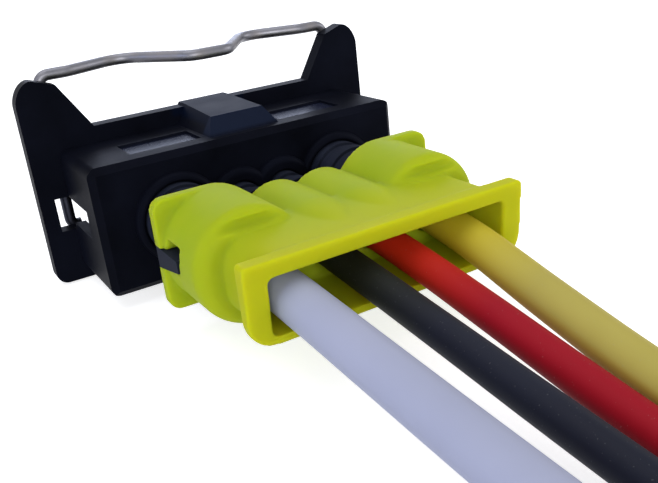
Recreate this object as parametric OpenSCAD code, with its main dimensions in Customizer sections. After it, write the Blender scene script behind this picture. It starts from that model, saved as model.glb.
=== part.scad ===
// Sealed four-way wire-to-board connector: two power ways outside, two signal
// ways inside, wire bail on the flange ears and a sliding rear seal cover.
// +Y points to the mating side, the leads leave towards -Y, +Z is up.
// The origin is the middle of the flange's lower edge.

/* [Cavities] */
// Middle of the part to a power cavity
power_x = 9.7; // [9.2:0.1:9.9]
// Middle of the part to a signal cavity
signal_x = 2.6; // [2.5:0.05:2.7]
// Height of the cavity axes above the flange's lower edge
axis_h = 8.2; // [8:0.1:9]

/* [Housing] */
// Width of the moulded block
block_w = 36.4; // [36:0.1:37]
// Height of the moulded block
block_h = 14; // [13.8:0.1:14.6]
// Depth of the block behind the flange
block_d = 11.6; // [11:0.1:13]
// How far the hood stands in front of the flange
collar_d = 2.6; // [2.2:0.1:3.5]
// Wall thickness of the hood
hood_wall = 1.15; // [1:0.05:1.3]
// Thickness of the rear wall that carries the tower
rear_wall = 3.5; // [3.2:0.1:4]
// Radius of the block's long edges
block_r = 1; // [0.6:0.1:1.4]
// Width of the bevel round the rear face
rear_bevel = 0.7; // [0.4:0.1:0.9]

/* [Key] */
// Width of the key's top
key_top = 5.8; // [5.5:0.1:6.2]
// Width of the key's foot
key_foot = 8.4; // [8:0.1:9]
// Rear face to the key
key_back = 2; // [1.8:0.1:2.4]

/* [Pads] */
// Middle of the part to a pad on the top face
pad_x = 4.8; // [4.7:0.1:5.4]
// Width of a pad
pad_w = 8; // [7:0.1:8.4]
// Length of a pad along the leads
pad_l = 4.6; // [4:0.1:5]
// Rear face to a pad
pad_y = 2.9; // [2.4:0.1:3.4]
// Depth of a pad
pad_d = 0.3; // [0.2:0.05:0.4]

/* [Flange] */
// Width over the flange and the ears
flange_w = 42.9; // [42.5:0.1:44]
// Thickness of the flange
flange_t = 1.9; // [1.6:0.1:2.4]
// Flange edge above the block's top face
flange_rise = 1.9; // [1.6:0.1:2.4]
// Ear tops above the block's top face
ear_rise = 7.5; // [7:0.1:8]
// Width of the gap between the ears at the flange edge
ear_gap_base = 27.5; // [26.5:0.1:28]
// Width of the gap between the ears at their tops
ear_gap_top = 33.8; // [33:0.1:34]
// Flange left outside the side slots
slot_edge = 1.7; // [1.5:0.1:1.9]
// Outer corner radius of the ears
ear_r = 2.2; // [1.5:0.1:2.5]

/* [Tower] */
// Gap between the tower and the hood above and below
tower_gap = 1.25; // [1.15:0.05:1.3]
// Gap between the tower and the hood at the sides
tower_side_gap = 2.65; // [2.5:0.05:2.7]
// Tower front face from the block's rear face
tower_l = 22.4; // [22:0.1:23.4]
// Corner radius of the tower
tower_r = 1.2; // [0.8:0.1:1.6]
// Front wall of the tower
tower_front = 0.9; // [0.7:0.1:1.1]

/* [Rear collars] */
// Radius of the collars round the power ways
collar_r_power = 4.9; // [4.7:0.05:5]
// Radius of the collars round the signal ways
collar_r_signal = 3.75; // [3.6:0.05:3.85]
// Height of the collars on the rear face
collar_rise = 1; // [0.8:0.1:1.2]
// Rounding of the collars' edges
collar_edge = 0.7; // [0.5:0.1:0.8]
// Width of the lead-in of the seal bores
bore_bevel = 0.25; // [0.2:0.05:0.3]
// Depth of the seal bores from the rear face
seal_bore_d = 11.9; // [11.6:0.1:12.4]

/* [Leads] */
// Outside diameter of the left power lead
power_lead_d = 4.1; // [3.8:0.05:4.2]
// Outside diameter of the right power lead
slim_lead_d = 3.6; // [3.4:0.05:3.8]
// Outside diameter of a signal lead
signal_lead_d = 3; // [2.8:0.05:3.1]
// Bare conductor diameter of a power lead
power_core_d = 2.9; // [2.6:0.05:3]
// Bare conductor diameter of a signal lead
signal_core_d = 1.9; // [1.7:0.05:2]
// Stripped length at the loose end
strip_l = 7; // [5:0.5:9]

/* [Wire seals] */
// Lip diameter of a power lead's seal
power_seal_d = 7.8; // [7.6:0.05:7.9]
// Lip diameter of a signal lead's seal
signal_seal_d = 4.3; // [4.2:0.05:4.4]
// Depth of the valleys between the lips
lip_depth = 0.3; // [0.2:0.05:0.4]
// How far a seal reaches into its collar
seal_reach = 0.4; // [0.3:0.1:0.6]
// How far a seal sits in the cover
seal_hold = 3.8; // [3.6:0.1:4.4]
// Length of the lug on the side of a power seal
lug_l = 5.3; // [4.8:0.1:5.6]
// Top of the lug above the cavity axes
lug_high = 0.9; // [0.7:0.1:1.1]
// Foot of the lug below the cavity axes
lug_low = 1.3; // [1.1:0.1:1.5]
// How much the lug's underside rises to the rear
lug_taper = 1; // [0.6:0.1:1.2]

/* [Rear cover] */
// Distance from the cover's front face to the block
cover_gap = 8.7; // [8:0.1:9]
// Width of the cover's flange
cover_w = 30.9; // [30.7:0.1:31.2]
// Thickness of the cover's flange
cover_t = 1.4; // [1.2:0.1:1.8]
// Corner radius of the cover's flange
cover_r = 1.3; // [1:0.1:1.6]
// Top of the side windows above the cavity axes
window_high = 2; // [1.7:0.1:2.3]
// Outside radius of a power barrel
barrel_r_power = 5.55; // [5.4:0.05:5.6]
// Outside radius of a signal barrel
barrel_r_signal = 4.15; // [4:0.05:4.2]
// Length of the barrels behind the flange
barrel_l = 8.4; // [8:0.1:8.8]
// Rounding of the barrels' rear edges
barrel_edge = 1.4; // [1:0.1:1.6]
// Width of the lead trough
trough_w = 26; // [25.8:0.1:26.4]
// Top of the lead trough above the cavity axes
trough_top = 3.8; // [3.6:0.1:4]
// Bottom of the lead trough below the cavity axes
trough_bottom = 4; // [3.9:0.1:4.1]
// Roof of the trough
trough_roof = 1.7; // [1.4:0.1:1.75]
// Floor of the trough
trough_floor = 0.8; // [0.7:0.05:0.85]
// How far the mouth's lower edge stands back
mouth_lean = 0.6; // [0.4:0.1:0.8]
// Start of the trough from the cover's front face
trough_start = 7.3; // [7:0.1:8]
// Trough rear edge from the cover's front face
trough_end = 17.3; // [17:0.1:18]
// Radius of the trough's outer corners
trough_r = 3; // [2.4:0.1:3.2]
// Side walls of the trough
trough_wall = 0.9; // [0.8:0.05:0.95]
// Width over the flared rim
rim_w = 28.5; // [28:0.1:28.8]
// Radius of the rim's lower corners
rim_r = 2.6; // [2:0.1:2.8]
// How far the rim stands above the trough
rim_step = 0.3; // [0.2:0.1:0.4]
// Length of the flared rim along the leads
rim_l = 1.7; // [1.4:0.1:2]

/* [Bail] */
// Wire diameter of the bail
bail_d = 1.25; // [1.1:0.05:1.3]
// Height of the bail's bar above the block's top face
bail_rise = 7.9; // [7.6:0.1:8.2]
// How far the bar's middle bows behind the flange's front face
bail_bow = 5.1; // [4.6:0.1:5.6]
// Middle of the part to a bail leg
leg_x = 18.1; // [18:0.05:18.2]
// Foot of the legs below the cavity axes
leg_drop = 3; // [2.8:0.1:3.2]
// Travel of the bail when it is pressed
bail_travel = 2; // [1.5:0.1:2]

/* [Fits] */
// Running clearance on radius
run_c = 0.05; // [0.03:0.01:0.08]
// Clearance round the terminals in their cavities
cavity_c = 0.15; // [0.1:0.05:0.2]
// Room round a lead where it leaves a barrel
lead_c = 0.5; // [0.4:0.05:0.6]

/* [Terminals] */
// Width of a power terminal's box
power_box_w = 6.5; // [6.3:0.05:6.5]
// Height of a power terminal's box
power_box_h = 3.4; // [3.2:0.05:3.5]
// Width of a signal terminal's box
signal_box_w = 3.3; // [3.1:0.05:3.3]
// Height of a signal terminal's box
signal_box_h = 2.7; // [2.6:0.05:2.8]
// Sheet thickness of the terminals
sheet_t = 0.4; // [0.3:0.05:0.45]
// Sheet thickness of the steel springs
spring_t = 0.25; // [0.2:0.05:0.3]
// Thickness of the blades that plug in
blade_t = 0.8; // [0.6:0.1:0.8]

/* [Hidden] */
$fn = 48;

// Planes along Y
flange_back = -flange_t / 2;
flange_front = flange_t / 2;
block_back = flange_back - block_d;
collar_front = flange_front + collar_d;
hood_back = block_back + rear_wall;
tower_y = block_back + tower_l;
collar_back = block_back - collar_rise;
bore_end = block_back + seal_bore_d;
cavity_end = tower_y - tower_front;
cover_front = block_back - cover_gap;
cover_back = cover_front - cover_t;
barrel_back = cover_back - barrel_l;
mouth = cover_front - trough_end;
seal_front = collar_back + seal_reach;
seal_back = cover_front - seal_hold;
lug_root = power_x + seal_d(true) / 2 - 0.6;
// Widths and heights
tower_w = block_w - 2 * (hood_wall + tower_side_gap);
tower_h = block_h - 2 * (hood_wall + tower_gap);
block_top = axis_h + block_h / 2;
flange_top = block_top + flange_rise;
ear_top = block_top + ear_rise;
bail_z = block_top + bail_rise;
bail_y = flange_front + run_c + bail_d / 2;
foot_z = axis_h - leg_drop;
// Where each way sits: [side, distance from the middle, power way]
WAYS = [[-1, power_x, true], [1, power_x, true], [-1, signal_x, false], [1, signal_x, false]];
function lead_d(way) = way[2] ? (way[0] < 0 ? power_lead_d : slim_lead_d) : signal_lead_d;
function core_d(power) = power ? power_core_d : signal_core_d;
function seal_d(power) = power ? power_seal_d : signal_seal_d;
function box_w(power) = power ? power_box_w : signal_box_w;
function box_h(power) = power ? power_box_h : signal_box_h;
function barrel_r(power) = power ? barrel_r_power : barrel_r_signal;
function collar_r(power) = power ? collar_r_power : collar_r_signal;
// Stations of a terminal along Y
grip_y = seal_front + cover_gap - collar_rise + 0.5;
grip_l = 2.2;
lead_front = grip_y + grip_l + 0.4;
crimp_l = 2.2;
core_front = lead_front + crimp_l + 0.6;
box_y = core_front + 0.4;
box_l = cavity_end - run_c - box_y;

housing_black = [0.05, 0.05, 0.07];
cover_yellow = [0.76, 0.8, 0.2];
seal_grey = [0.16, 0.18, 0.25];
seal_orange = [0.75, 0.3, 0.1];
wire_steel = [0.6, 0.61, 0.66];
tin = [0.75, 0.74, 0.7];
copper = [0.8, 0.45, 0.25];
white_lead = [0.84, 0.85, 0.93];
black_lead = [0.1, 0.11, 0.14];
red_lead = [0.68, 0.12, 0.17];
tan_lead = [0.72, 0.67, 0.3];

// ---- helpers ----------------------------------------------------------
// A plane outline, drawn in X and height, pulled from y0 to y1
module pull(y0, y1, z = axis_h) {
  translate([0, y1, z]) rotate([90, 0, 0]) linear_extrude(y1 - y0) children();
}
// A rod, bore or cone along Y from y0 to y1
module rod(x, y0, y1, r0, r1 = undef, z = axis_h) {
  translate([x, y1, z]) rotate([90, 0, 0])
    cylinder(h = y1 - y0, r1 = is_undef(r1) ? r0 : r1, r2 = r0);
}
module round_rect(w, h, r) {
  square([w - 2 * r, h], center = true);
  square([w, h - 2 * r], center = true);
  for (x = [-1, 1], z = [-1, 1])
    translate([x * (w / 2 - r), z * (h / 2 - r)]) circle(r);
}
module both_sides() {
  children();
  mirror([1, 0, 0]) children();
}
module at_way(way) {
  translate([way[0] * way[1], 0, 0]) children();
}
// Four circles that run into one another, with radii for power and signal
module way_outline(r_power, r_signal) {
  for (way = WAYS) translate([way[0] * way[1], 0]) circle(way[2] ? r_power : r_signal);
}

// ---- housing ----------------------------------------------------------
// Flange plate with two ears, drawn about the cavity axes
module flange_outline() {
  half = flange_w / 2;
  foot_r = 1.3;
  low = -axis_h;
  high = flange_top - axis_h;
  top = ear_top - axis_h;
  translate([-half, low + foot_r]) square([flange_w, high - low - foot_r]);
  translate([foot_r - half, low]) square([flange_w - 2 * foot_r, foot_r]);
  for (side = [-1, 1]) translate([side * (half - foot_r), low + foot_r]) circle(foot_r);
  for (side = [0, 1]) mirror([side, 0]) {
    polygon([
      [ear_gap_base / 2, high], [ear_gap_top / 2, top], [half - ear_r, top],
      [half - ear_r, top - ear_r], [half, top - ear_r], [half, high]
    ]);
    translate([half - ear_r, top - ear_r]) circle(ear_r);
  }
}
// Raised key in the middle of the top face
module top_key() {
  rise = flange_rise + 0.3;
  rear = block_back + key_back;
  intersection() {
    // its sides spread towards the rear and towards the block
    pull(rear, flange_front, block_top)
      polygon([[-key_foot / 2, -1], [-key_foot / 2, 0], [-key_top / 2, rise],
               [key_top / 2, rise], [key_foot / 2, 0], [key_foot / 2, -1]]);
    translate([-key_foot, 0, block_top]) rotate([90, 0, 90]) linear_extrude(2 * key_foot)
      polygon([[rear, -1], [rear, 0], [rear + 1.5, rise - 0.35], [flange_back, rise],
               [flange_front + 1, rise], [flange_front + 1, -1]]);
  }
}
// Bevel round the rear face, cut by four long prisms
module rear_bevels() {
  b = rear_bevel;
  for (side = [0, 1]) {
    translate([0, 0, axis_h]) mirror([0, 0, side]) translate([-block_w, 0, 0])
      rotate([90, 0, 90]) linear_extrude(2 * block_w)
        polygon([[block_back - 1, block_h / 2 - b - 1], [block_back - 1, block_h / 2 + 1],
                 [block_back + b + 1, block_h / 2 + 1]]);
    mirror([side, 0, 0]) linear_extrude(3 * block_h)
      polygon([[block_w / 2 - b - 1, block_back - 1], [block_w / 2 + 1, block_back - 1],
               [block_w / 2 + 1, block_back + b + 1]]);
  }
}
// Slot through the side wall, the flange and the hood, where the bail leg locks
module side_slot() {
  deep = block_w / 2 - 3;
  slot_top = axis_h + 1.75;
  translate([deep, block_back + 4.2, axis_h - 1.3]) cube([3.5, block_d, slot_top - axis_h + 1.3]);
  translate([deep, flange_back - 0.5, axis_h - 2.1])
    cube([flange_w / 2 - slot_edge - deep, flange_t + 1, slot_top - axis_h + 2.1]);
  translate([deep, flange_front, axis_h - leg_drop - bail_travel - 0.8])
    cube([3.5, collar_d + 1, slot_top + 0.4 - axis_h + leg_drop + bail_travel + 0.8]);
}
// Upright groove in the side of the hood and guide eye on the ear for a bail leg
module leg_groove() {
  translate([leg_x - bail_d / 2 - run_c, flange_front, 0])
    cube([2, bail_d + 3 * run_c, block_top + 0.01]);
}
module leg_guide() {
  difference() {
    translate([leg_x - 1.3, flange_front - 0.2, block_top + 1.5]) cube([2.7, bail_d + 0.9, 2.4]);
    translate([leg_x, bail_y, block_top]) cylinder(h = 6, r = bail_d / 2 + run_c);
  }
}
// A cylinder along the cavity axis from y1 back to y0, its rear edge rounded
module rounded_rod(r, y0, y1, edge) {
  translate([0, y1, axis_h]) rotate([90, 0, 0]) rotate_extrude()
    union() {
      square([r, y1 - y0 - edge]);
      square([r - edge, y1 - y0]);
      translate([r - edge, y1 - y0 - edge]) circle(edge);
    }
}
// Round seal bore, terminal cavity and blade slot of one way
module way_cavity(power) {
  w = box_w(power) + 2 * spring_t + 2 * cavity_c;
  h = box_h(power) + 2 * spring_t + 2 * cavity_c;
  blade_w = box_w(power) - 0.3;
  slot_h = blade_t + 0.5;
  bore_r = seal_d(power) / 2 + run_c;
  rod(0, collar_back - 1, bore_end, bore_r);
  rod(0, collar_back - 1, collar_back + bore_bevel, bore_r + bore_bevel + 1, bore_r);
  pull(bore_end - 1, cavity_end) square([w, h], center = true);
  pull(tower_y - tower_front - 1, tower_y + 1) square([blade_w, slot_h], center = true);
  // lead-in for the blade
  translate([-blade_w / 2, 0, axis_h]) rotate([90, 0, 90]) linear_extrude(blade_w)
    polygon([[tower_y - 0.45, -slot_h / 2], [tower_y - 0.45, slot_h / 2],
             [tower_y + 0.1, slot_h / 2 + 0.55], [tower_y + 0.1, -slot_h / 2 - 0.55]]);
}
module housing() {
  color(housing_black) difference() {
    union() {
      difference() {
        union() {
          pull(block_back, collar_front) round_rect(block_w, block_h, block_r);
          pull(flange_back, flange_front) flange_outline();
          top_key();
        }
        pull(hood_back, collar_front + 1)
          round_rect(block_w - 2 * hood_wall, block_h - 2 * hood_wall, block_r);
        both_sides() side_slot();
        both_sides() leg_groove();
        // shallow pads on the top face
        both_sides() translate([pad_x, block_back + pad_y, block_top - pad_d])
          cube([pad_w, pad_l, 1]);
        rear_bevels();
      }
      pull(hood_back - 0.5, tower_y) round_rect(tower_w, tower_h, tower_r);
      both_sides() leg_guide();
      for (way = WAYS) at_way(way)
        rounded_rod(collar_r(way[2]), collar_back, block_back + 0.5, collar_edge);
    }
    for (way = WAYS) at_way(way) way_cavity(way[2]);
  }
}
// Ring seal at the foot of the tower, with two lips
module interface_seal() {
  seal_len = 3.6;
  lip = tower_gap - 0.25;
  low = tower_gap - 0.55;
  color(seal_orange) difference() {
    union() {
      pull(hood_back, hood_back + seal_len)
        round_rect(tower_w + 2 * low, tower_h + 2 * low, tower_r + low);
      for (y = [0.5, 2.2]) pull(hood_back + y, hood_back + y + 0.8)
        round_rect(tower_w + 2 * lip, tower_h + 2 * lip, tower_r + lip);
    }
    pull(hood_back - 1, hood_back + seal_len + 1) round_rect(tower_w, tower_h, tower_r);
  }
}

// ---- bail -------------------------------------------------------------
// The bar is a chain of straights and bends: out of the bow, over a shoulder,
// back to the plane of the legs, down into the leg and in at its foot.
bow_turn = 57;
shoulder_turn = 80;
bow_r = 1.8;
shoulder_r = 3.2;
back_r = 2;
bow_flat = 1.2;
back_l = 4.4;
corner_r = 1.2;
foot_r = 0.8;
foot_l = 0.3;
back_turn = shoulder_turn - bow_turn;
bow_y = flange_front - bail_bow;
rise_l = (bail_y - bow_y - bow_r * (1 - cos(bow_turn)) + back_l * sin(back_turn)
          + back_r * (1 - cos(back_turn)) - shoulder_r * (cos(back_turn) - cos(bow_turn)))
         / sin(bow_turn);
run_x = bow_flat + bow_r * sin(bow_turn) + rise_l * cos(bow_turn)
      + shoulder_r * (sin(bow_turn) + sin(back_turn)) + back_l * cos(back_turn)
      + back_r * sin(back_turn);
// The wire is a hair thinner where it was bent; the straights reach into the bends
bend_thin = 0.02;
tie = 0.05;
// A straight length along +X; what follows starts at its end
module straight(l) {
  translate([-tie, 0, 0]) rotate([0, 90, 0]) cylinder(h = l + 2 * tie, d = bail_d);
  translate([l, 0, 0]) children();
}
// A bend from +X towards +Y, or towards -Y if the turn is negative
module bend(r, turn) {
  side = sign(turn);
  translate([0, side * r, 0]) {
    rotate([0, 0, side > 0 ? -90 : 90 + turn])
      rotate_extrude(angle = abs(turn)) translate([r, 0]) circle(d = bail_d - bend_thin);
    rotate([0, 0, turn]) translate([0, -side * r, 0]) children();
  }
}
module half_bail() {
  translate([0, bow_y, bail_z])
    straight(bow_flat) bend(bow_r, bow_turn) straight(rise_l)
    bend(shoulder_r, -shoulder_turn) straight(back_l) bend(back_r, back_turn)
    straight(leg_x - corner_r - run_x) rotate([90, 0, 0]) bend(corner_r, -90)
    straight(bail_z - corner_r - foot_z - foot_r - bail_d / 2) bend(foot_r, -90)
    straight(foot_l);
}
module wire_bail() {
  color(wire_steel) both_sides() half_bail();
}

// ---- rear cover -------------------------------------------------------
// Front flange: the outline of the barrels, squared off at the outer corners
module cover_flange() {
  pull(cover_back, cover_front) {
    way_outline(barrel_r_power, barrel_r_signal);
    for (side = [0, 1]) mirror([side, 0]) intersection() {
      round_rect(cover_w, 2 * barrel_r_power, cover_r);
      translate([power_x, -barrel_r_power]) square([cover_w, 2 * barrel_r_power]);
    }
  }
}
// A bar across the cover with its corners rounded, from y0 to y1
module across(y0, y1, w, low, high, r) {
  pull(y0, y1, axis_h + (high - low) / 2) round_rect(w, high + low, r);
}
// What the leaning mouth cuts away, and what the roof loses towards the rim
module mouth_cut() {
  w = rim_w + 2;
  translate([-w / 2, 0, axis_h]) rotate([90, 0, 90]) linear_extrude(w) {
    polygon([[mouth - 1, trough_top], [mouth, trough_top], [mouth + mouth_lean, -trough_bottom],
             [mouth + mouth_lean, -trough_bottom - 1], [mouth - 1, -trough_bottom - 1]]);
    polygon([[mouth - 1, trough_top + 1], [mouth - 1, trough_top - 0.2],
             [mouth, trough_top - 0.2], [mouth + 8, trough_top], [mouth + 8, trough_top + 1]]);
  }
}
// Side view of a seal's lug, grown by gap; y is its front
module lug_profile(y, gap) {
  back = cover_front - lug_l - gap;
  polygon([[y, -lug_low - gap], [back, lug_taper - lug_low - gap], [back, lug_high + gap],
           [y, lug_high + gap]]);
}
// Opening in the side of a power barrel and in the flange, which holds the seal's lug
module side_window() {
  translate([lug_root - run_c, 0, axis_h]) rotate([90, 0, 90]) linear_extrude(cover_w) {
    lug_profile(cover_front + 1, run_c);
    translate([cover_front - lug_l - run_c, 0])
      square([lug_l + run_c - cover_t - 0.7, window_high]);
  }
}
// The flared rim, its lower corners rounder
module rim() {
  intersection() {
    across(mouth, mouth + rim_l, rim_w, trough_bottom + 3, trough_top, 0.6);
    across(mouth, mouth + rim_l, rim_w, trough_bottom, trough_top + 3, rim_r);
  }
}
module rear_cover() {
  inner_w = trough_w - 2 * trough_wall;
  color(cover_yellow) difference() {
    union() {
      cover_flange();
      for (way = WAYS) at_way(way)
        rounded_rod(barrel_r(way[2]), barrel_back, cover_back + 0.5, barrel_edge);
      across(mouth + 0.5, cover_front - trough_start, trough_w, trough_bottom,
             trough_top - rim_step, trough_r);
      rim();
    }
    across(mouth - 1, barrel_back + 0.8, inner_w, trough_bottom - trough_floor,
           trough_top - trough_roof, 0.5);
    mouth_cut();
    for (way = WAYS) at_way(way) {
      rod(0, seal_back, cover_front + 1, seal_d(way[2]) / 2 + run_c);
      rod(0, barrel_back - 1, seal_back + 1, lead_d(way) / 2 + lead_c);
    }
    both_sides() side_window();
  }
}

// ---- wire seals -------------------------------------------------------
module wire_seal(way) {
  power = way[2];
  r = seal_d(power) / 2;
  lip = (seal_front - seal_back) / 9;
  color(seal_grey) difference() {
    union() {
      at_way(way) {
        rod(0, seal_back, seal_front, r - lip_depth);
        for (k = [0 : 2 : 8]) rod(0, seal_back + k * lip, seal_back + (k + 1) * lip, r);
      }
      if (power) mirror([way[0] < 0 ? 1 : 0, 0, 0]) translate([lug_root, 0, axis_h])
        rotate([90, 0, 90]) linear_extrude(cover_w / 2 - 0.1 - lug_root)
          lug_profile(cover_front, 0);
    }
    at_way(way) rod(0, seal_back - 1, seal_front + 1, lead_d(way) / 2 + run_c);
  }
}

// ---- terminals --------------------------------------------------------
// Folded contact: insulation grip, core crimp, neck and blade box
module terminal(way) {
  power = way[2];
  w = box_w(power);
  h = box_h(power);
  ld = lead_d(way);
  cd = core_d(power);
  color(tin) at_way(way) {
    difference() {
      union() {
        rod(0, grip_y, grip_y + grip_l, ld / 2 + sheet_t);
        rod(0, lead_front + 0.2, lead_front + 0.2 + crimp_l, cd / 2 + sheet_t);
        // neck: the strip of floor that joins grip, crimp and box
        translate([-cd / 2, grip_y + 0.5, axis_h - cd / 2 - sheet_t])
          cube([cd, box_y + 1 - grip_y - 0.5, sheet_t]);
        translate([-cd / 2, box_y - 0.5, axis_h - h / 2])
          cube([cd, 1, h / 2 - cd / 2]);
        pull(box_y, box_y + box_l) square([w, h], center = true);
      }
      rod(0, grip_y - 1, lead_front, ld / 2);
      rod(0, lead_front - 0.2, core_front, cd / 2);
      // seams of the grip and of the crimp
      translate([-0.15, grip_y - 1, axis_h]) cube([0.3, core_front - grip_y + 1, ld]);
      pull(box_y + sheet_t, box_y + box_l + 1)
        square([w - 2 * sheet_t, h - 2 * sheet_t], center = true);
    }
    // contact leaf above the blade
    translate([-w / 2 + sheet_t - 0.05, box_y, axis_h]) rotate([90, 0, 90])
      linear_extrude(w - 2 * sheet_t + 0.1)
        polygon([[0.2, h / 2 - sheet_t], [2.2, blade_t / 2 + 0.05], [3.4, blade_t / 2 + 0.05],
                 [5.6, h / 2 - sheet_t], [5.6, h / 2 - sheet_t + 0.1],
                 [0.2, h / 2 - sheet_t + 0.1]]);
  }
}
// Steel over-spring: a sleeve on the box with a locking lance
module over_spring(power) {
  w = box_w(power);
  h = box_h(power);
  y0 = box_y + 0.8;
  l = box_l - 2;
  color(wire_steel) difference() {
    pull(y0, y0 + l) square([w + 2 * spring_t, h + 2 * spring_t], center = true);
    pull(y0 - 1, y0 + l + 1) square([w, h], center = true);
    // windows beside the lance
    for (side = [-1, 1]) translate([side * w / 6 - 0.2, y0 + 1, axis_h + h / 2 - 1])
      cube([0.4, l - 2.2, 2]);
  }
}

// ---- leads ------------------------------------------------------------
// Routes of the leads: straight out of the seals, a slow fall to the surface
// the part stands on, then along it.
POWER_LEFT = [
  [-9.7, -14, 8.2], [-9.7, -25.8, 8.2], [-9.7, -29.5, 8.05], [-9.6, -33, 7.8], [-9.5, -39, 7.3],
  [-9.2, -48, 6.2], [-8.8, -58, 4.9], [-8.4, -68, 3.7], [-8.1, -78, 2.7], [-7.9, -90, 2.1],
  [-8, -102, 2.1], [-8.2, -114, 2.1], [-8.4, -126, 2.1], [-8.4, -138, 2.1]
];
POWER_RIGHT = [
  [9.7, -14, 8.2], [9.7, -25.8, 8.2], [9.5, -29.5, 8.05], [9.15, -33, 7.8], [8.55, -39, 7.2],
  [7.55, -48, 5.75], [6.6, -58, 4.2], [6, -68, 2.85], [5.8, -78, 2.05], [5.9, -90, 1.85],
  [6.3, -102, 1.85], [6.8, -114, 1.85], [7.2, -126, 1.85], [7.2, -134, 1.85]
];
SIGNAL_LEFT = [
  [-2.6, -14, 8.2], [-2.6, -25.8, 8.2], [-2.6, -29.5, 7.95], [-2.6, -33, 7.6], [-2.45, -39, 6.8],
  [-2.3, -48, 5.6], [-2.1, -57, 4.3], [-1.9, -66, 3.1], [-1.9, -75, 2.2], [-2, -84, 1.6],
  [-2.25, -95, 1.6], [-2.4, -107, 1.6], [-2.5, -119, 1.6], [-2.5, -131, 1.6]
];
SIGNAL_RIGHT = [
  [2.6, -14, 8.2], [2.6, -25.8, 8.2], [2.65, -29.5, 7.95], [2.7, -33, 7.6], [2.7, -39, 6.8],
  [2.7, -48, 5.3], [2.6, -57, 3.8], [2.5, -66, 2.5], [2.4, -75, 1.8], [2.3, -84, 1.6],
  [2.2, -95, 1.6], [2.3, -107, 1.6], [2.4, -119, 1.6], [2.4, -136, 1.6]
];
function unit(v) = v / norm(v);
// Sides of the ring round a route's point k
function ring(route, k, r, sides) =
  let (last = len(route) - 1,
       t = k == 0 || k == last ? [0, -1, 0] : unit(route[k + 1] - route[k - 1]),
       u = unit(cross(t, [0, 0, 1])),
       v = cross(u, t))
  [for (s = [0 : sides - 1]) route[k] + r * (cos(360 * s / sides) * u + sin(360 * s / sides) * v)];
module tube(route, d, sides) {
  n = len(route);
  points = [for (k = [0 : n - 1]) each ring(route, k, d / 2, sides)];
  walls = [for (k = [0 : n - 2], s = [0 : sides - 1])
    let (a = k * sides + s, b = k * sides + (s + 1) % sides) [a, b, b + sides, a + sides]];
  polyhedron(points, concat([[for (s = [sides - 1 : -1 : 0]) s]], walls,
                            [[for (s = [0 : sides - 1]) (n - 1) * sides + s]]), convexity = 6);
}
module lead(route, way, tint) {
  front = [route[0][0], lead_front, axis_h];
  color(tint) tube(concat([front], route), lead_d(way), way[2] ? 12 : 8);
}
// Bare conductor: its end in the crimp and its stripped loose end
module core(route, power) {
  tip = route[len(route) - 1];
  color(copper) {
    rod(route[0][0], lead_front, core_front - 0.2, core_d(power) / 2);
    rod(tip[0], tip[1] - strip_l, tip[1], core_d(power) / 2, z = tip[2]);
  }
}

housing();
interface_seal();
wire_bail();
rear_cover();
wire_seal(WAYS[0]);  // power_seal_left
wire_seal(WAYS[1]);  // power_seal_right
wire_seal(WAYS[2]);  // signal_seal_left
wire_seal(WAYS[3]);  // signal_seal_right
terminal(WAYS[0]);  // power_terminal_left
terminal(WAYS[1]);  // power_terminal_right
terminal(WAYS[2]);  // signal_terminal_left
terminal(WAYS[3]);  // signal_terminal_right
at_way(WAYS[0]) over_spring(true);  // power_spring_left
at_way(WAYS[1]) over_spring(true);  // power_spring_right
at_way(WAYS[2]) over_spring(false);  // signal_spring_left
at_way(WAYS[3]) over_spring(false);  // signal_spring_right
lead(POWER_LEFT, WAYS[0], white_lead);  // power_lead_left
lead(POWER_RIGHT, WAYS[1], tan_lead);  // power_lead_right
lead(SIGNAL_LEFT, WAYS[2], black_lead);  // signal_lead_left
lead(SIGNAL_RIGHT, WAYS[3], red_lead);  // signal_lead_right
core(POWER_LEFT, true);  // power_core_left
core(POWER_RIGHT, true);  // power_core_right
core(SIGNAL_LEFT, false);  // signal_core_left
core(SIGNAL_RIGHT, false);  // signal_core_right
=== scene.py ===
import math
import random

import bmesh
import bpy
from mathutils import Matrix, Vector


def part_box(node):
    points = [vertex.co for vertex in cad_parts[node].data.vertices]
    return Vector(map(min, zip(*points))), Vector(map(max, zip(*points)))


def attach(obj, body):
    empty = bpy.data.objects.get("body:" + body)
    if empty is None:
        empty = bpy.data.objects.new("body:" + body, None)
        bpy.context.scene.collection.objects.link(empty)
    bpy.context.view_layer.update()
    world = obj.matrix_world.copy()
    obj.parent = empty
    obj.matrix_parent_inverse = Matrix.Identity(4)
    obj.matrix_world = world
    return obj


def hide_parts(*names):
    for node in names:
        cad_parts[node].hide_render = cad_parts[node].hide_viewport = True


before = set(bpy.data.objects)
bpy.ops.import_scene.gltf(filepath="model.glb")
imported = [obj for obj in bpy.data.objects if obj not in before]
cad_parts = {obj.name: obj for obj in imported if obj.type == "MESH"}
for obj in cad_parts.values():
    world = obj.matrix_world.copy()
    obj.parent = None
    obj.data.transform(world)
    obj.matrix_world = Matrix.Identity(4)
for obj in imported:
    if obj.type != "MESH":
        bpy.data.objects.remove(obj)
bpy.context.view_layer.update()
MM = 0.001


def corners(node):
    """The lowest and the highest corner of a node, in millimetres."""
    return [[v / MM for v in corner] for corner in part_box(node)]


# ---- camera, solved from the photo's straight edges -----------------------
SENSOR_WIDTH = 36.0
LENS = 44.226
CAMERA_AT = (-35.266, -90.943, 35.698)
CAMERA_RIGHT = (0.850835, -0.514980, -0.104281)
CAMERA_UP = (0.275336, 0.267949, 0.923252)
CAMERA_BACK = (-0.447514, -0.814247, 0.369773)


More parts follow.
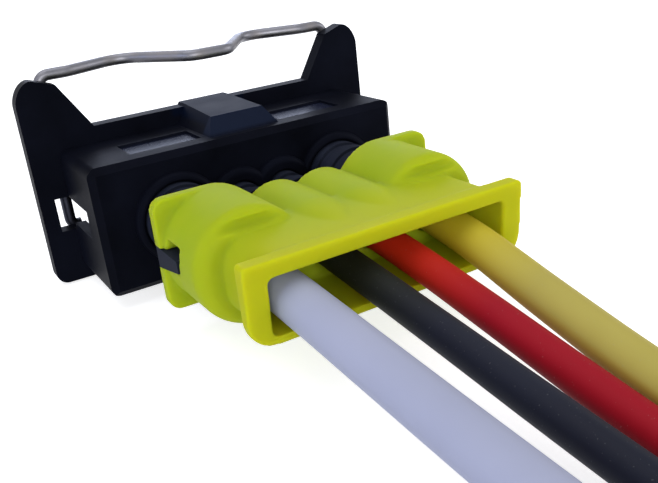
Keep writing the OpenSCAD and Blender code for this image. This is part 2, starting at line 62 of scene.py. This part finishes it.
def make_camera():
    data = bpy.data.cameras.new("camera")
    data.sensor_fit = "HORIZONTAL"
    data.sensor_width = SENSOR_WIDTH
    data.lens = LENS
    data.clip_start, data.clip_end = 0.005, 20
    cam = bpy.data.objects.new("camera", data)
    bpy.context.collection.objects.link(cam)
    axes = [Vector(v) for v in (CAMERA_RIGHT, CAMERA_UP, CAMERA_BACK)]
    placed = Matrix(axes).transposed().to_4x4()
    placed.translation = Vector(CAMERA_AT) * MM
    cam.matrix_world = placed
    bpy.context.scene.camera = cam


make_camera()
bpy.context.scene.view_settings.view_transform = "Standard"


# ---- materials ------------------------------------------------------------
class Nodes:
    """A small helper that makes nodes in a tree and joins them."""

    def __init__(self, tree, output):
        self.tree = tree
        self.tree.nodes.clear()
        self.out = self.tree.nodes.new(output)

    def node(self, kind, **values):
        n = self.tree.nodes.new(kind)
        for key, value in values.items():
            setattr(n, key, value)
        return n

    def put(self, socket, value):
        if isinstance(value, bpy.types.NodeSocket):
            self.tree.links.new(value, socket)
        else:
            socket.default_value = value

    def ramp(self, value, low, high, to_low=0.0, to_high=1.0):
        r = self.node("ShaderNodeMapRange")
        for key, v in (("Value", value), ("From Min", low), ("From Max", high),
                       ("To Min", to_low), ("To Max", to_high)):
            self.put(r.inputs[key], v)
        return r.outputs["Result"]

    def math(self, operation, a, b=0.0):
        m = self.node("ShaderNodeMath", operation=operation)
        self.put(m.inputs[0], a)
        self.put(m.inputs[1], b)
        return m.outputs[0]

    def seen(self):
        """1 where the camera looks, itself or by way of gloss or glass; 0 for other light."""
        path = self.node("ShaderNodeLightPath")
        mirrored = self.math("MAXIMUM", path.outputs["Is Glossy Ray"],
                             path.outputs["Is Transmission Ray"])
        return self.math("MAXIMUM", path.outputs["Is Camera Ray"], mirrored)


class Shader(Nodes):
    """The nodes of one material, with the patterns that the surfaces share."""

    def __init__(self, name):
        self.mat = bpy.data.materials.new(name)
        self.mat.use_nodes = True
        super().__init__(self.mat.node_tree, "ShaderNodeOutputMaterial")
        self.coord = self.node("ShaderNodeTexCoord").outputs["Object"]

    def noise(self, scale, detail=2.0, rough=0.5, distortion=0.0, stretch=None):
        n = self.node("ShaderNodeTexNoise")
        self.put(n.inputs["Scale"], scale)
        self.put(n.inputs["Detail"], detail)
        self.put(n.inputs["Roughness"], rough)
        self.put(n.inputs["Distortion"], distortion)
        self.put(n.inputs["Vector"], self.stretched(stretch) if stretch else self.coord)
        return n.outputs["Fac"]

    def stretched(self, scale):
        m = self.node("ShaderNodeMapping")
        self.put(m.inputs["Vector"], self.coord)
        self.put(m.inputs["Scale"], scale)
        return m.outputs["Vector"]

    def mix(self, fac, a, b):
        m = self.node("ShaderNodeMix", data_type="RGBA")
        self.put(m.inputs["Factor"], fac)
        self.put(m.inputs["A"], a if isinstance(a, bpy.types.NodeSocket) else (*a, 1))
        self.put(m.inputs["B"], b if isinstance(b, bpy.types.NodeSocket) else (*b, 1))
        return m.outputs["Result"]

    def bump(self, height, strength, distance, normal=None):
        b = self.node("ShaderNodeBump")
        self.put(b.inputs["Height"], height)
        self.put(b.inputs["Strength"], strength)
        self.put(b.inputs["Distance"], distance)
        if normal is not None:
            self.put(b.inputs["Normal"], normal)
        return b.outputs["Normal"]

    def soft_edge(self, radius):
        b = self.node("ShaderNodeBevel", samples=4)
        self.put(b.inputs["Radius"], radius)
        return b.outputs["Normal"]

    def axes(self, vector):
        """The three components of a vector."""
        split = self.node("ShaderNodeSeparateXYZ")
        self.put(split.inputs[0], vector)
        return list(split.outputs)

    def inside(self, low, high, soft):
        """1 inside a box and its mirror image across x = 0, with faces blurred by soft."""
        x, y, z = self.axes(self.coord)
        result = None
        for p, a, b in zip((self.math("ABSOLUTE", x), y, z), low, high):
            part = self.math("MULTIPLY", self.ramp(p, (a - soft) * MM, (a + soft) * MM),
                             self.ramp(p, (b + soft) * MM, (b - soft) * MM))
            result = part if result is None else self.math("MULTIPLY", result, part)
        return result

    def along_y(self, none, full):
        """0 at the plane y = none and 1 at y = full."""
        return self.ramp(self.axes(self.coord)[1], none * MM, full * MM)

    def below(self, height):
        """0 just above a height and 1 just below it."""
        return self.ramp(self.axes(self.coord)[2], (height + 1) * MM, (height - 1) * MM)

    def underside(self):
        """0 where the surface looks well up, 1 where it looks well down."""
        normal = self.node("ShaderNodeNewGeometry").outputs["Normal"]
        return self.ramp(self.axes(normal)[2], 0.35, -0.6)

    def surface(self, **values):
        p = self.node("ShaderNodeBsdfPrincipled")
        for key, value in values.items():
            self.put(p.inputs[key.replace("_", " ")], value)
        self.put(self.out.inputs["Surface"], p.outputs["BSDF"])
        return self.mat


SPOT_FADE = 0.25
# The coat's blue tint adds to the painted bluish sheen on the pads
COAT = {"Coat_Roughness": 0.25, "Coat_Tint": (0.8, 0.87, 1.0, 1)}


def moulded(name, dark, light, rough, spec, grain, glow=None, tint=(1, 1, 1), painted_spots=(), painted_rim_glow=None):
    """Injection-moulded plastic: tool texture, cloudy tint, flow marks, fine handling scratches.

    glow is the weight, radii and scale of light under the surface, and tint colours the gloss.
    The argument after tint lists places with painted light of their own: low corner, high corner,
    painted colour and polish, the polish being a real gloss coat. The last argument is a painted
    glow of light through thin walls, a change of colour along Y: where it starts, where it is
    complete, and the colour.
    """
    s = Shader(name)
    cloud = s.noise(140, detail=3, rough=0.6)
    fine = s.noise(9000, detail=2, rough=0.6)
    colour = s.mix(s.ramp(cloud, 0.3, 0.7), dark, light)
    # Painted glow: towards the rim the cover turns a warmer, brighter yellow, for light shining
    # through its thin walls
    if painted_rim_glow:
        colour = s.mix(s.along_y(*painted_rim_glow[:2]), colour, painted_rim_glow[2])
    flow = s.noise(60, detail=4, rough=0.6, distortion=1.5, stretch=(1, 0.25, 2.5))
    lines = s.noise(2200, detail=2, rough=0.4, distortion=0.3, stretch=(0.05, 1, 1))
    scratch = s.ramp(lines, 0.70, 0.76)
    roughness = s.math("ADD", s.ramp(cloud, 0.3, 0.7, rough - 0.05, rough + 0.05),
                       s.math("MULTIPLY", scratch, 0.08))
    shine = None
    # Painted light: each spot's box gets its painted colour; its polish is a real gloss coat
    for low, high, painted_colour, polish in painted_spots:
        mask = s.math("MULTIPLY", s.inside(low, high, SPOT_FADE),
                      s.ramp(cloud, 0.2, 0.8, 0.75, 1.0))
        colour = s.mix(mask, colour, painted_colour)
        if polish:
            polished = s.math("MULTIPLY", mask, polish)
            shine = polished if shine is None else s.math("ADD", shine, polished)
    normal = s.bump(flow, strength=0.12, distance=0.05 * MM)
    normal = s.bump(fine, strength=grain, distance=0.01 * MM, normal=normal)
    normal = s.bump(scratch, strength=0.15, distance=-0.005 * MM, normal=normal)
    values = {"Base_Color": colour, "Roughness": roughness, "Normal": normal,
              "Specular_IOR_Level": spec, "Specular_Tint": (*tint, 1)}
    if shine is not None:
        values.update(Coat_Weight=shine, **COAT)
    if glow:
        values.update(zip(("Subsurface_Weight", "Subsurface_Radius", "Subsurface_Scale"), glow))
    return s.surface(**values)


# Between these two planes a lead changes to its painted colour close to the cover: painted yellow
# light bounced from the cover onto it
COVER_BOUNCE_PLANES = (-48, -37)


def insulation(name, base, shade, rough, spec, cover_bounce=None, low=None):
    """Extruded lead insulation: long fine draw lines, dull bloom and specks of dust.

    The colour given close to the cover is painted yellow light bounced from the cover; the colour
    given for the underside is painted shade and bounce light where the surface looks down.
    """
    s = Shader(name)
    draw = s.noise(1500, detail=2, rough=0.5, stretch=(1, 0.02, 1))
    bloom = s.noise(90, detail=3, rough=0.6)
    speck = s.ramp(s.noise(5200, detail=1, rough=0.4), 0.72, 0.78)
    dust = tuple(0.6 * c + 0.15 for c in base)
    tint = s.mix(s.ramp(bloom, 0.3, 0.7), base, shade)
    # Painted shade and bounce light along the underside, where the surface looks down
    if low:
        tint = s.mix(s.underside(), tint, low)
    # Painted yellow light bounced from the cover, close to it
    if cover_bounce:
        tint = s.mix(s.along_y(*COVER_BOUNCE_PLANES), tint, cover_bounce)
    tint = s.mix(s.math("MULTIPLY", speck, 0.25), tint, dust)
    normal = s.bump(draw, strength=0.2, distance=0.012 * MM)
    normal = s.bump(s.noise(7000, detail=2, rough=0.6), strength=0.12, distance=0.006 * MM,
                    normal=normal)
    roughness = s.ramp(bloom, 0.3, 0.7, rough - 0.04, rough + 0.06)
    return s.surface(Base_Color=tint, Roughness=roughness, Normal=normal,
                     Specular_IOR_Level=spec, Subsurface_Weight=0.06,
                     Subsurface_Radius=(1, 1, 1), Subsurface_Scale=0.4 * MM)


STAIN = (0.25, 0.22, 0.2)
# Painted shade: the colour of the bail's legs where they run down inside the housing, below a
# height
PAINTED_SHADE = (0.03, 0.032, 0.045)


def metal(name, base, rough, shaded_below=None):
    """Drawn or stamped metal: fine grain, stains and pits; below a height, painted shade darkens
    it.
    """
    s = Shader(name)
    draw = s.noise(2500, detail=2, rough=0.6)
    cloud = s.noise(260, detail=3, rough=0.6)
    pits = s.ramp(s.noise(6000, detail=1, rough=0.5), 0.68, 0.75)
    tint = s.mix(s.math("MULTIPLY", s.ramp(cloud, 0.45, 0.75), 0.5), base, STAIN)
    # Painted shade below the given height
    if shaded_below:
        tint = s.mix(s.below(shaded_below), tint, PAINTED_SHADE)
    normal = s.bump(draw, strength=0.25, distance=0.008 * MM)
    normal = s.bump(pits, strength=0.2, distance=-0.006 * MM, normal=normal)
    roughness = s.ramp(cloud, 0.3, 0.7, rough - 0.06, rough + 0.1)
    return s.surface(Base_Color=tint, Metallic=1.0, Roughness=roughness, Normal=normal)


def rubber(name, base, rough):
    """Silicone seal: a cloudy tint, a fine matt grain and soft edges."""
    s = Shader(name)
    cloud = s.noise(300, detail=3, rough=0.6)
    pale = tuple(1.5 * c + 0.004 for c in base)
    tint = s.mix(s.ramp(cloud, 0.3, 0.7), base, pale)
    normal = s.bump(s.noise(5000, detail=3, rough=0.6), strength=0.3, distance=0.01 * MM,
                    normal=s.soft_edge(0.08 * MM))
    return s.surface(Base_Color=tint, Roughness=s.ramp(cloud, 0.3, 0.7, rough, rough + 0.1),
                     Normal=normal, Specular_IOR_Level=0.08)


# Places on top of the housing with painted light of their own: a painted highlight on the pads,
# which also get a real gloss coat, painted light on the key's rear face and a painted bluish sheen
# on the key's top
BLOCK_TOP = 15.2
PAD_PAINTED_SHEEN = ((4.9, -9.6, BLOCK_TOP - 0.9), (12.7, -5.1, BLOCK_TOP - 0.1), (0.007, 0.009, 0.022), 0.6)
KEY_REAR_PAINTED_LIGHT = ((-1, -11, BLOCK_TOP + 0.1), (4.6, -8.6, BLOCK_TOP + 3), (0.009, 0.013, 0.028), 0)
KEY_TOP_PAINTED_SHEEN = ((-1, -8.6, BLOCK_TOP + 1), (4.6, 2, BLOCK_TOP + 4), (0.002, 0.004, 0.012), 0)

# The gloss of the black plastic is tinted blue: a painted bluish reflection
BLACK = moulded("housing_black", (0.0020, 0.0022, 0.0038), (0.0038, 0.0044, 0.0084),
                rough=0.5, spec=0.025, grain=0.3, tint=(0.50, 0.60, 1.0),
                painted_spots=(PAD_PAINTED_SHEEN, KEY_REAR_PAINTED_LIGHT, KEY_TOP_PAINTED_SHEEN))
# Towards the rim the cover's colour turns a warmer, brighter yellow: a painted glow of light
# through the thin walls
YELLOW = moulded("cover_yellow", (0.305, 0.395, 0.012), (0.345, 0.425, 0.017),
                 rough=0.55, spec=0.03, grain=0.2, glow=(0.75, (1.0, 0.75, 0.10), 2.4 * MM),
                 painted_rim_glow=(-29, -39, (0.45, 0.465, 0.010)))
# Below 15 mm the bail steel gets painted shade, on its legs inside the housing
STEEL = metal("bail_steel", (0.155, 0.155, 0.175), rough=0.45, shaded_below=15)
TIN = metal("tinned_contact", (0.68, 0.67, 0.62), rough=0.3)
SPRING = metal("spring_steel", (0.5, 0.5, 0.5), rough=0.35)
COPPER = metal("copper", (0.72, 0.34, 0.18), rough=0.3)
GREY_SEAL = rubber("seal_grey", (0.006, 0.008, 0.016), rough=0.7)
RED_SEAL = rubber("seal_orange", (0.30, 0.05, 0.02), rough=0.5)
WHITE_LEAD = insulation("lead_white", (0.355, 0.375, 0.505), (0.38, 0.40, 0.53),
                        rough=0.5, spec=0.15)
BLACK_LEAD = insulation("lead_black", (0.0085, 0.0095, 0.018), (0.011, 0.013, 0.024),
                        rough=0.55, spec=0.10, cover_bounce=(0.013, 0.014, 0.007))
RED_LEAD = insulation("lead_red", (0.30, 0.006, 0.014), (0.33, 0.008, 0.020),
                      rough=0.55, spec=0.08, cover_bounce=(0.50, 0.022, 0.006),
                      low=(0.22, 0.003, 0.009))
TAN_LEAD = insulation("lead_tan", (0.42, 0.35, 0.075), (0.46, 0.385, 0.09),
                      rough=0.55, spec=0.10, cover_bounce=(0.56, 0.45, 0.02), low=(0.55, 0.30, 0.03))


# ---- meshes ---------------------------------------------------------------
def made(name, bm, material):
    """An object from a bmesh, shaded smooth."""
    mesh = bpy.data.meshes.new(name)
    bm.to_mesh(mesh)
    bm.free()
    mesh.materials.append(material)
    mesh.polygons.foreach_set("use_smooth", [True] * len(mesh.polygons))
    obj = bpy.data.objects.new(name, mesh)
    bpy.context.collection.objects.link(obj)
    return obj


def stand_in(obj, node, body):
    """Put a piece on its body and hide the CAD node that it stands in for."""
    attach(obj, body)
    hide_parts(node)


def rounded(node, body, material, width, change):
    """A copy of a CAD solid with its sharp edges rounded, as the mould leaves them."""
    bm = bmesh.new()
    bm.from_mesh(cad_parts[node].data)
    bmesh.ops.remove_doubles(bm, verts=bm.verts, dist=1e-6)
    bmesh.ops.dissolve_limit(bm, angle_limit=math.radians(1.0), verts=bm.verts, edges=bm.edges,
                             delimit={"NORMAL"})
    change(bm)
    obj = made(node + "_skin", bm, material)
    bevel = obj.modifiers.new("edges", "BEVEL")
    bevel.width = width * MM
    bevel.segments = 2
    bevel.limit_method = "ANGLE"
    bevel.angle_limit = math.radians(28)
    bevel.miter_outer = "MITER_ARC"
    normals = obj.modifiers.new("normals", "WEIGHTED_NORMAL")
    normals.keep_sharp = True
    stand_in(obj, node, body)


def softened(node, body, material, voxel, passes, extras):
    """A copy of a CAD solid rebuilt as one fine skin and smoothed, with soft edges and corners."""
    bm = bmesh.new()
    bm.from_mesh(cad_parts[node].data)
    for extra in extras:
        extra(bm)
    obj = made(node + "_skin", bm, material)
    remesh = obj.modifiers.new("skin", "REMESH")
    remesh.mode = "VOXEL"
    remesh.voxel_size = voxel * MM
    remesh.use_smooth_shade = True
    smooth = obj.modifiers.new("soften", "SMOOTH")
    smooth.factor = 0.5
    smooth.iterations = passes
    graph = bpy.context.evaluated_depsgraph_get()
    obj.data = bpy.data.meshes.new_from_object(obj.evaluated_get(graph))
    obj.modifiers.clear()
    stand_in(obj, node, body)


def ring_faces(bm, rings):
    """Close a stack of equal rings of vertices into a tube with two end caps."""
    n = len(rings[0])
    for a, b in zip(rings, rings[1:]):
        for i in range(n):
            bm.faces.new((a[i], a[(i + 1) % n], b[(i + 1) % n], b[i]))
    bm.faces.new(rings[0][::-1])
    bm.faces.new(rings[-1])


# Height of the four ways' axes, which is the middle of the ring seal round the tower, and the
# height where the barrels meet the trough's roof
AXIS_H = sum(corner[2] for corner in corners("interface_seal")) / 2
ROOF_H = 11.3
FAIRING_STEPS, FAIRING_SIDES = 8, 16


def fairing(x, r_front, r_back, y_front, y_back):
    """A tapering saddle that lets a barrel run out into the roof of the trough."""
    def add(bm):
        rings = []
        for k in range(FAIRING_STEPS + 1):
            t = k / FAIRING_STEPS
            r = r_front + (r_back - r_front) * (3 * t * t - 2 * t ** 3)
            y = y_front + (y_back - y_front) * t
            half = math.acos(min(1.0, (ROOF_H - AXIS_H) / r))
            angles = [half * (2 * i / FAIRING_SIDES - 1) for i in range(FAIRING_SIDES + 1)]
            rings.append([bm.verts.new(Vector((x + r * math.sin(a), y, AXIS_H + r * math.cos(a)))
                                       * MM) for a in angles])
        ring_faces(bm, rings)
    return add


# The ears' tops: inner corner and height in the part, then the slope that the photo shows
EAR_IN, EAR_TOP = 16.9, corners("housing")[1][2]
EAR_REACH, EAR_FADE = 3, 2.2
EAR_SLOPE, EAR_START, EAR_RISE = 0.34, -0.45, 0.4
CORNER_FROM, CORNER_OVER = 2.6, 1.9
CORNER_DROP, CORNER_PULL = 0.25, 0.15


def raise_ears(bm):
    """The top edge of each ear climbs a little, then rounds off at its outer corner."""
    for v in bm.verts:
        x, z = abs(v.co.x) / MM, v.co.z / MM
        if x > EAR_IN - 0.5 and z > EAR_TOP - EAR_REACH:
            weight = min(1.0, (z - EAR_TOP + EAR_REACH) / EAR_FADE)
            outer = min(1.0, max(0.0, (x - EAR_IN - CORNER_FROM) / CORNER_OVER))
            climb = min(EAR_RISE, EAR_START + EAR_SLOPE * (x - EAR_IN))
            v.co.z += weight * (climb - CORNER_DROP * outer ** 1.5) * MM
            v.co.x -= math.copysign(CORNER_PULL * weight * outer * MM, v.co.x)


def paint(node, material):
    """A CAD solid stays as it is and gets its material."""
    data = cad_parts[node].data
    data.materials.clear()
    data.materials.append(material)


def spline(points, step):
    """A smooth line through the points, sampled about every step."""
    pts = [Vector(p) for p in points]
    pts = [2 * pts[0] - pts[1]] + pts + [2 * pts[-1] - pts[-2]]
    line = []
    for a, b, c, d in zip(pts, pts[1:], pts[2:], pts[3:]):
        n = max(2, int((c - b).length / step))
        for k in range(n):
            t = k / n
            line.append(0.5 * ((2 * b) + (c - a) * t + (2 * a - 5 * b + 4 * c - d) * t * t
                               + (3 * b - a - 3 * c + d) * t ** 3))
    line.append(pts[-2])
    return line


def sweep(bm, line, radius, sides):
    """A capped tube along the line; radius is a function of the distance gone."""
    rings, gone, up = [], 0.0, Vector((0, 0, 1))
    for k, p in enumerate(line):
        t = (line[min(k + 1, len(line) - 1)] - line[max(k - 1, 0)]).normalized()
        if k:
            gone += (p - line[k - 1]).length
        u = t.cross(up).normalized()
        v = u.cross(t)
        up = v
        r = radius(gone)
        rings.append([bm.verts.new(p + r * (math.cos(a) * u + math.sin(a) * v))
                      for a in (2 * math.pi * s / sides for s in range(sides))])
    ring_faces(bm, rings)


# ---- leads: the route points of the part ----------------------------------
FRONT_Y = corners("power_lead_left")[1][1]
ROUTES = {
    "power_lead_left": [
        (-9.7, -14, 8.2), (-9.7, -25.8, 8.2), (-9.7, -29.5, 8.05), (-9.6, -33, 7.8),
        (-9.5, -39, 7.3), (-9.2, -48, 6.2), (-8.8, -58, 4.9), (-8.4, -68, 3.7), (-8.1, -78, 2.7),
        (-7.9, -90, 2.1), (-8, -102, 2.1), (-8.2, -114, 2.1), (-8.4, -126, 2.1), (-8.4, -138, 2.1)],
    "power_lead_right": [
        (9.7, -14, 8.2), (9.7, -25.8, 8.2), (9.5, -29.5, 8.05), (9.15, -33, 7.8), (8.55, -39, 7.2),
        (7.55, -48, 5.75), (6.6, -58, 4.2), (6, -68, 2.85), (5.8, -78, 2.05), (5.9, -90, 1.85),
        (6.3, -102, 1.85), (6.8, -114, 1.85), (7.2, -126, 1.85), (7.2, -134, 1.85)],
    "signal_lead_left": [
        (-2.6, -14, 8.2), (-2.6, -25.8, 8.2), (-2.6, -29.5, 7.95), (-2.6, -33, 7.6),
        (-2.45, -39, 6.8), (-2.3, -48, 5.6), (-2.1, -57, 4.3), (-1.9, -66, 3.1), (-1.9, -75, 2.2),
        (-2, -84, 1.6), (-2.25, -95, 1.6), (-2.4, -107, 1.6), (-2.5, -119, 1.6), (-2.5, -131, 1.6)],
    "signal_lead_right": [
        (2.6, -14, 8.2), (2.6, -25.8, 8.2), (2.65, -29.5, 7.95), (2.7, -33, 7.6), (2.7, -39, 6.8),
        (2.7, -48, 5.3), (2.6, -57, 3.8), (2.5, -66, 2.5), (2.4, -75, 1.8), (2.3, -84, 1.6),
        (2.2, -95, 1.6), (2.3, -107, 1.6), (2.4, -119, 1.6), (2.4, -136, 1.6)],
}
LEAD_STEP, LEAD_SIDES = 0.9, 40
POWER_CORE, SIGNAL_CORE = 2.9, 1.9
STRIP = 7.0
STRAND_STEPS, STRAND_SIDES = 8, 7
UNEVEN = 0.35
TWIST = 0.10
STRAND_PITCH, STRAND_WIDTH = 0.985, 0.99
CUT_TAPER, CUT_LENGTH = 0.1, 0.4
WAVE, WAVE_RATE = 0.003, 190


def strands(name, start, core_r, count_rings, length):
    """The stripped end: copper strands laid in a slow twist, their tips a little uneven."""
    rnd = random.Random(name)
    bm = bmesh.new()
    wire_r = core_r / (2 * count_rings + 1)
    places = [(0.0, 0.0)]
    for ring in range(1, count_rings + 1):
        for k in range(6 * ring):
            places.append((ring * 2 * wire_r * STRAND_PITCH, 2 * math.pi * k / (6 * ring)))
    for rad, a in places:
        long = length - rnd.uniform(0.0, UNEVEN)
        line = []
        for k in range(STRAND_STEPS + 1):
            d = long * k / STRAND_STEPS
            b = a + TWIST * d
            line.append(Vector((start[0] + rad * math.cos(b), start[1] - d,
                                start[2] + rad * math.sin(b))) * MM)
        sweep(bm, line, lambda gone: wire_r * STRAND_WIDTH * MM, STRAND_SIDES)
    return made(name, bm, COPPER)


def lead(node, core, material, diameter, core_d, core_rings):
    """One lead: its insulation as a swept tube, and the stripped strands at its loose end."""
    route = [(ROUTES[node][0][0], FRONT_Y, AXIS_H)] + ROUTES[node]
    line = spline([Vector(p) * MM for p in route], LEAD_STEP * MM)
    total = sum((b - a).length for a, b in zip(line, line[1:]))
    phase = sum(map(ord, node))

    def radius(d):
        """Drawn in at the cut end, with the faint waviness of extruded insulation."""
        cut = min(1.0, 1 - CUT_TAPER + CUT_TAPER * (total - d) / (CUT_LENGTH * MM))
        wave = 1 - WAVE + WAVE * math.sin(d * WAVE_RATE + phase)
        return diameter / 2 * MM * cut * wave

    bm = bmesh.new()
    sweep(bm, line, radius, LEAD_SIDES)
    obj = made(node + "_insulation", bm, material)
    stand_in(obj, node, "housing")
    bare = strands(core + "_strands", ROUTES[node][-1], core_d / 2, core_rings, STRIP)
    stand_in(bare, core, "housing")


lead("power_lead_left", "power_core_left", WHITE_LEAD, 4.1, POWER_CORE, 3)
lead("power_lead_right", "power_core_right", TAN_LEAD, 3.6, POWER_CORE, 3)
lead("signal_lead_left", "signal_core_left", BLACK_LEAD, 3.0, SIGNAL_CORE, 2)
lead("signal_lead_right", "signal_core_right", RED_LEAD, 3.0, SIGNAL_CORE, 2)

# ---- housing, cover, bail and the pieces inside ---------------------------
SIGNAL_X = 2.6
rounded("housing", "housing", BLACK, width=0.32, change=raise_ears)
softened("rear_cover", "seal_cover", YELLOW, voxel=0.2, passes=5,
         extras=[fairing(x, r_front=4.14, r_back=3.42, y_front=-29.3, y_back=-36.3)
                 for x in (-SIGNAL_X, SIGNAL_X)])
paint("wire_bail", STEEL)
paint("interface_seal", RED_SEAL)
for side in ("left", "right"):
    for kind in ("power", "signal"):
        paint(f"{kind}_seal_{side}", GREY_SEAL)
        paint(f"{kind}_terminal_{side}", TIN)
        paint(f"{kind}_spring_{side}", SPRING)

# ---- studio, in metres ----------------------------------------------------
FLOOR_COLOUR, FLOOR_RADIUS, FLOOR_Z = (0.8, 0.8, 0.8, 1), 4.0, -0.0002
FLOOR_GLOW = 0.7
SKY_COLOUR, SKY_LIGHT, SKY_SEEN = (0.96, 0.97, 1.0, 1), 0.26, 1.0
# name, place, target, size, power, colour
LAMPS = (
    ("top", (-0.1, 0.1, 0.7), (0, -0.02, 0), (0.7, 0.6), 2.6, (0.96, 0.97, 1.0)),
    ("front", (-0.3, -0.8, 0.22), (0, -0.02, 0.01), (0.6, 0.4), 4.8, (1.0, 0.99, 0.97)),
    ("left", (-0.8, 0.0, 0.2), (0, -0.02, 0.01), (0.5, 0.3), 1.6, (0.55, 0.66, 1.0)),
    ("right", (0.8, -0.35, 0.3), (0, -0.03, 0.01), (0.5, 0.4), 2.2, (1.0, 0.99, 0.97)),
    ("back", (0.3, 0.8, 0.34), (0, 0, 0.01), (0.7, 0.3), 2.4, (0.68, 0.76, 1.0)),
)


def make_floor():
    """A pale floor that keeps the object's shadow and shows white where the camera looks."""
    s = Shader("floor")
    diffuse = s.node("ShaderNodeBsdfDiffuse")
    s.put(diffuse.inputs["Color"], FLOOR_COLOUR)
    glow = s.node("ShaderNodeEmission")
    s.put(glow.inputs["Strength"], s.math("MULTIPLY", s.seen(), FLOOR_GLOW))
    both = s.node("ShaderNodeAddShader")
    s.put(both.inputs[0], diffuse.outputs[0])
    s.put(both.inputs[1], glow.outputs[0])
    s.put(s.out.inputs["Surface"], both.outputs[0])
    bm = bmesh.new()
    bmesh.ops.create_circle(bm, cap_ends=True, radius=FLOOR_RADIUS, segments=96)
    floor = made("floor", bm, s.mat)
    floor.location = (0, 0, FLOOR_Z)


def make_world():
    """Soft light from all round, and a white background where the camera looks."""
    world = bpy.data.worlds.new("world")
    bpy.context.scene.world = world
    world.use_nodes = True
    w = Nodes(world.node_tree, "ShaderNodeOutputWorld")
    back = w.node("ShaderNodeBackground")
    w.put(back.inputs["Color"], SKY_COLOUR)
    w.put(back.inputs["Strength"], w.ramp(w.seen(), 0.0, 1.0, SKY_LIGHT, SKY_SEEN))
    w.put(w.out.inputs["Surface"], back.outputs[0])


def make_lamp(name, place, target, size, power, tint):
    """A soft rectangular lamp at a place, turned to its target."""
    data = bpy.data.lights.new(name, "AREA")
    data.shape = "RECTANGLE"
    data.size, data.size_y = size
    data.energy = power
    data.color = tint
    lamp = bpy.data.objects.new(name, data)
    bpy.context.collection.objects.link(lamp)
    lamp.location = place
    lamp.rotation_mode = "QUATERNION"
    lamp.rotation_quaternion = (Vector(target) - Vector(place)).to_track_quat("-Z", "Y")


make_floor()
make_world()
for lamp in LAMPS:
    make_lamp(*lamp)
